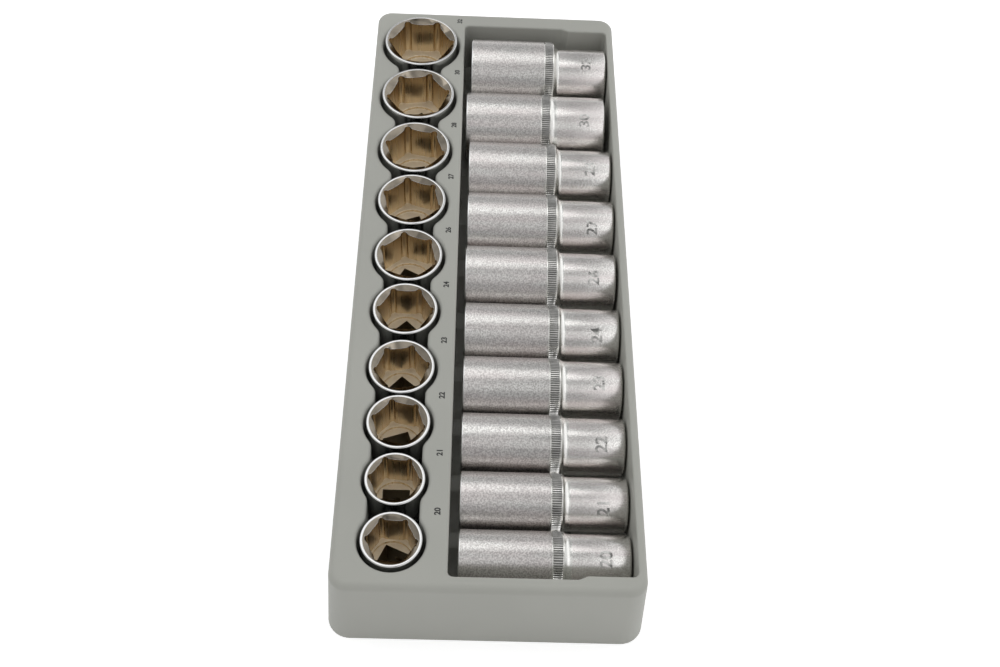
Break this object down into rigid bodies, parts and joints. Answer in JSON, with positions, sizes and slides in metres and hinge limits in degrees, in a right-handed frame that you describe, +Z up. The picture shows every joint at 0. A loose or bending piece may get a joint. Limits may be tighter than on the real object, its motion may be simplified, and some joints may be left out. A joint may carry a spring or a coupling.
{
  "type": "socket tray for a tool-chest drawer",
  "caption": "Moulded tray with scalloped pockets for short hexagon sockets and an open bay where deep sockets lie in cradles; every socket lifts out.",
  "frame": {"origin": "middle of the rectangle that the tray stands on", "axes": "+X across the tray from the short sockets to the deep sockets, +Y along the tray towards the largest sockets, +Z up"},
  "size_m": [0.1456, 0.3866, 0.0503],
  "materials": {
    "tray_plastic": "satin moulded",
    "polished_chrome": "polished",
    "satin_chrome": "satin"
  },
  "bodies": {
    "tray": {"tray": "tray_plastic"},
    "short_20": {"short_socket_20mm": "polished_chrome"},
    "short_21": {"short_socket_21mm": "polished_chrome"},
    "short_22": {"short_socket_22mm": "polished_chrome"},
    "short_23": {"short_socket_23mm": "polished_chrome"},
    "short_24": {"short_socket_24mm": "polished_chrome"},
    "short_26": {"short_socket_26mm": "polished_chrome"},
    "short_27": {"short_socket_27mm": "polished_chrome"},
    "short_28": {"short_socket_28mm": "polished_chrome"},
    "short_30": {"short_socket_30mm": "polished_chrome"},
    "short_32": {"short_socket_32mm": "polished_chrome"},
    "deep_20": {"deep_socket_20mm": "satin_chrome"},
    "deep_21": {"deep_socket_21mm": "satin_chrome"},
    "deep_22": {"deep_socket_22mm": "satin_chrome"},
    "deep_23": {"deep_socket_23mm": "satin_chrome"},
    "deep_24": {"deep_socket_24mm": "satin_chrome"},
    "deep_26": {"deep_socket_26mm": "satin_chrome"},
    "deep_27": {"deep_socket_27mm": "satin_chrome"},
    "deep_28": {"deep_socket_28mm": "satin_chrome"},
    "deep_30": {"deep_socket_30mm": "satin_chrome"},
    "deep_32": {"deep_socket_32mm": "satin_chrome"}
  },
  "joints": [
    {"name": "lift_short_20", "type": "slide", "parent": "tray", "child": "short_20", "axis": [0, 0, 1], "range_m": [0, 0.06]},
    {"name": "lift_short_21", "type": "slide", "parent": "tray", "child": "short_21", "axis": [0, 0, 1], "range_m": [0, 0.06]},
    {"name": "lift_short_22", "type": "slide", "parent": "tray", "child": "short_22", "axis": [0, 0, 1], "range_m": [0, 0.06]},
    {"name": "lift_short_23", "type": "slide", "parent": "tray", "child": "short_23", "axis": [0, 0, 1], "range_m": [0, 0.06]},
    {"name": "lift_short_24", "type": "slide", "parent": "tray", "child": "short_24", "axis": [0, 0, 1], "range_m": [0, 0.06]},
    {"name": "lift_short_26", "type": "slide", "parent": "tray", "child": "short_26", "axis": [0, 0, 1], "range_m": [0, 0.06]},
    {"name": "lift_short_27", "type": "slide", "parent": "tray", "child": "short_27", "axis": [0, 0, 1], "range_m": [0, 0.06]},
    {"name": "lift_short_28", "type": "slide", "parent": "tray", "child": "short_28", "axis": [0, 0, 1], "range_m": [0, 0.06]},
    {"name": "lift_short_30", "type": "slide", "parent": "tray", "child": "short_30", "axis": [0, 0, 1], "range_m": [0, 0.06]},
    {"name": "lift_short_32", "type": "slide", "parent": "tray", "child": "short_32", "axis": [0, 0, 1], "range_m": [0, 0.06]},
    {"name": "lift_deep_20", "type": "slide", "parent": "tray", "child": "deep_20", "axis": [0, 0, 1], "range_m": [0, 0.06]},
    {"name": "lift_deep_21", "type": "slide", "parent": "tray", "child": "deep_21", "axis": [0, 0, 1], "range_m": [0, 0.06]},
    {"name": "lift_deep_22", "type": "slide", "parent": "tray", "child": "deep_22", "axis": [0, 0, 1], "range_m": [0, 0.06]},
    {"name": "lift_deep_23", "type": "slide", "parent": "tray", "child": "deep_23", "axis": [0, 0, 1], "range_m": [0, 0.06]},
    {"name": "lift_deep_24", "type": "slide", "parent": "tray", "child": "deep_24", "axis": [0, 0, 1], "range_m": [0, 0.06]},
    {"name": "lift_deep_26", "type": "slide", "parent": "tray", "child": "deep_26", "axis": [0, 0, 1], "range_m": [0, 0.06]},
    {"name": "lift_deep_27", "type": "slide", "parent": "tray", "child": "deep_27", "axis": [0, 0, 1], "range_m": [0, 0.06]},
    {"name": "lift_deep_28", "type": "slide", "parent": "tray", "child": "deep_28", "axis": [0, 0, 1], "range_m": [0, 0.06]},
    {"name": "lift_deep_30", "type": "slide", "parent": "tray", "child": "deep_30", "axis": [0, 0, 1], "range_m": [0, 0.06]},
    {"name": "lift_deep_32", "type": "slide", "parent": "tray", "child": "deep_32", "axis": [0, 0, 1], "range_m": [0, 0.06]}
  ]
}
